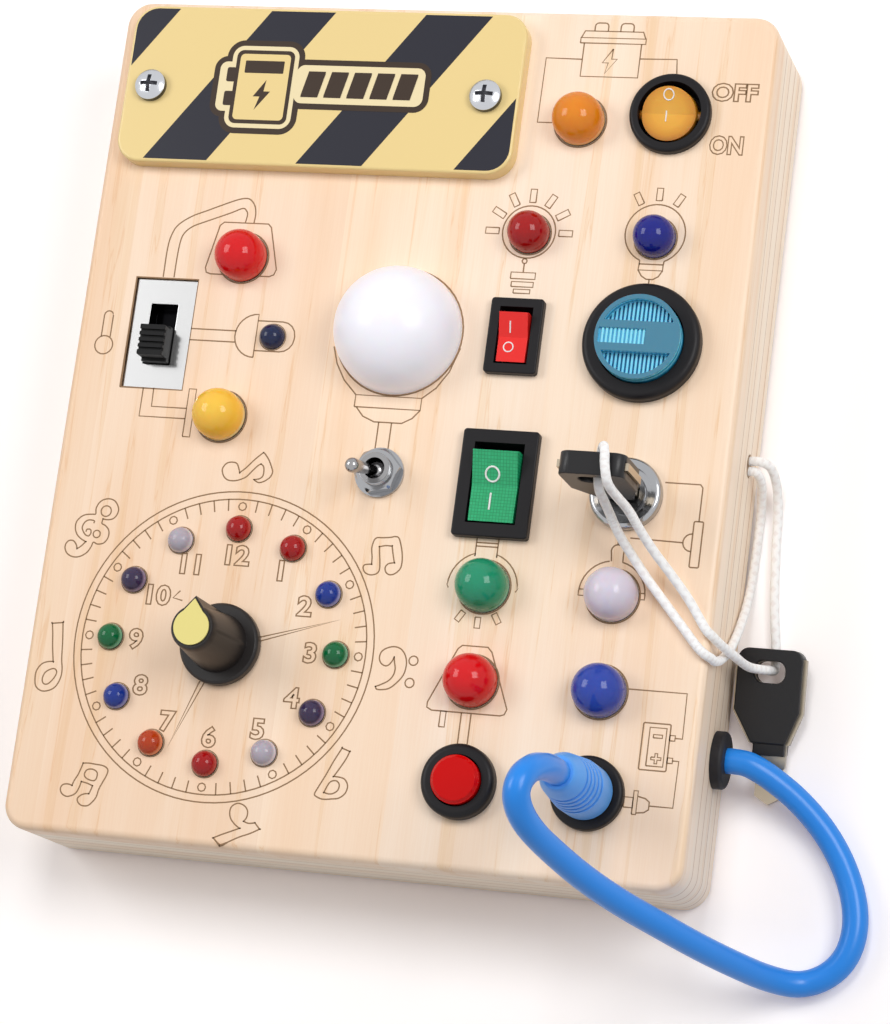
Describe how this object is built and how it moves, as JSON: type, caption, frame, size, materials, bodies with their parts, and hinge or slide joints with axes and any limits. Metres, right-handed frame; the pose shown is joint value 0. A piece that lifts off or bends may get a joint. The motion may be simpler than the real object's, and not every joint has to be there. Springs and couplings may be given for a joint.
{
  "type": "busy board",
  "caption": "Flat wooden busy board whose rocker, toggle, slide, rotary, push and key switches light coloured lamps, with a dial of lamps around a pointer knob.",
  "frame": {"origin": "centre of the case's back, on the plane that the board lies on", "axes": "+X to the right as the face is read, +Y to the case's top edge, +Z out of the face"},
  "size_m": [0.1657, 0.1843, 0.0685],
  "materials": {
    "pine": "satin",
    "plywood": "matte",
    "sign_print": "gloss",
    "zinc_screw": "satin",
    "chrome": "polished",
    "key_steel": "satin",
    "black_plastic": "satin",
    "black_rubber": "matte",
    "mirror_plate": "polished",
    "contact_metal": "satin",
    "red_lens": "gloss",
    "blue_lens": "gloss",
    "green_lens": "gloss",
    "purple_lens": "gloss",
    "clear_lens": "gloss",
    "orange_lens": "gloss",
    "yellow_lens": "gloss",
    "amber_lens": "gloss",
    "white_dome": "satin",
    "amber_button": "gloss",
    "red_button": "gloss",
    "green_button": "gloss",
    "blue_knob": "gloss",
    "cap_yellow": "satin",
    "cord_blue": "satin",
    "plug_blue": "satin",
    "string_white": "matte",
    "cell_sleeve": "gloss",
    "circuit_board": "satin",
    "wire_red": "satin"
  },
  "bodies": {
    "case": {"face_panel": "pine", "case_frame": "pine", "back_panel": "plywood", "back_screws": "zinc_screw", "sign_plate": "sign_print", "sign_screws": "chrome", "battery_tray": "black_plastic", "battery_cells": "cell_sleeve", "battery_contacts": "contact_metal", "small_lamps_red": "red_lens", "small_lamps_blue": "blue_lens", "small_lamps_green": "green_lens", "small_lamps_purple": "purple_lens", "small_lamps_clear": "clear_lens", "small_lamp_orange": "orange_lens", "large_lamps_red": "red_lens", "large_lamp_yellow": "yellow_lens", "large_lamp_amber": "amber_lens", "large_lamp_green": "green_lens", "large_lamp_white": "clear_lens", "large_lamp_blue": "blue_lens", "medium_lamp_red": "red_lens", "medium_lamp_blue": "blue_lens", "dome_lens": "white_dome", "dome_lamp_board": "circuit_board", "terminals": "zinc_screw", "wiring_loom": "wire_red", "panel_nuts": "zinc_screw", "amber_rocker_frame": "black_plastic", "red_rocker_frame": "black_plastic", "green_rocker_frame": "black_plastic", "rotary_frame": "black_plastic", "toggle_body": "chrome", "push_frame": "black_plastic", "slide_frame": "mirror_plate", "selector_switch": "black_plastic", "lock_barrel": "chrome", "spare_key_head": "black_plastic", "spare_key_blade": "key_steel", "string_from_hole": "string_white", "string_through_key": "string_white", "string_to_spare_key": "string_white", "socket": "black_plastic", "blue_cord": "cord_blue", "side_grommet": "black_rubber"},
    "amber_rocker": {"amber_rocker": "amber_button"},
    "red_rocker": {"red_rocker": "red_button"},
    "green_rocker": {"green_rocker": "green_button"},
    "rotary_knob": {"rotary_knob": "blue_knob"},
    "toggle_lever": {"toggle_lever": "chrome"},
    "push_button": {"push_button": "red_button"},
    "slide_button": {"slide_button": "black_plastic"},
    "selector": {"selector_shaft": "chrome", "selector_knob": "black_plastic", "knob_cap": "cap_yellow"},
    "lock_core": {"lock_core": "chrome"},
    "lock_key": {"lock_key_head": "black_plastic", "lock_key_blade": "key_steel"},
    "plug": {"plug": "plug_blue", "plug_pin": "chrome"}
  },
  "joints": [
    {"name": "amber_rock", "type": "hinge", "parent": "case", "child": "amber_rocker", "pos_m": [0.0481, 0.0643, 0.02647], "axis": [1, 0, 0], "range_deg": [-22, 0]},
    {"name": "red_rock", "type": "hinge", "parent": "case", "child": "red_rocker", "pos_m": [0.0229, 0.0183, 0.02651], "axis": [1, 0, 0], "range_deg": [-22, 0]},
    {"name": "green_rock", "type": "hinge", "parent": "case", "child": "green_rocker", "pos_m": [0.02315, -0.011, 0.02576], "axis": [1, 0, 0], "range_deg": [-22, 0]},
    {"name": "rotary_turn", "type": "hinge", "parent": "case", "child": "rotary_knob", "pos_m": [0.0481, 0.0183, 0.03], "axis": [0, 0, 1], "range_deg": [-90, 0]},
    {"name": "toggle_tip", "type": "hinge", "parent": "case", "child": "toggle_lever", "pos_m": [-0.0005, -0.0101, 0.0285], "axis": [0.5736, -0.8192, 0], "range_deg": [-28, 0]},
    {"name": "push_press", "type": "slide", "parent": "case", "child": "push_button", "axis": [0, 0, -1], "range_m": [0, 0.0022], "stiffness_N_per_m": 200},
    {"name": "slider_move", "type": "slide", "parent": "case", "child": "slide_button", "axis": [0, 1, 0], "range_m": [0, 0.0048]},
    {"name": "selector_turn", "type": "hinge", "parent": "case", "child": "selector", "pos_m": [-0.0274, -0.0461, 0.03], "axis": [0, 0, 1], "range_deg": [-330, 0]},
    {"name": "lock_turn", "type": "hinge", "parent": "case", "child": "lock_core", "pos_m": [0.0485, -0.0112, 0.029], "axis": [0, 0, 1], "range_deg": [0, 90], "deforming": ["string_from_hole", "string_through_key", "string_to_spare_key"]},
    {"name": "key_pull", "type": "slide", "parent": "lock_core", "child": "lock_key", "axis": [0, 0, 1], "range_m": [0, 0.022], "deforming": ["string_from_hole", "string_through_key", "string_to_spare_key"]},
    {"name": "plug_pull", "type": "slide", "parent": "case", "child": "plug", "axis": [0, 0, 1], "range_m": [0, 0.016], "deforming": ["blue_cord"]}
  ]
}
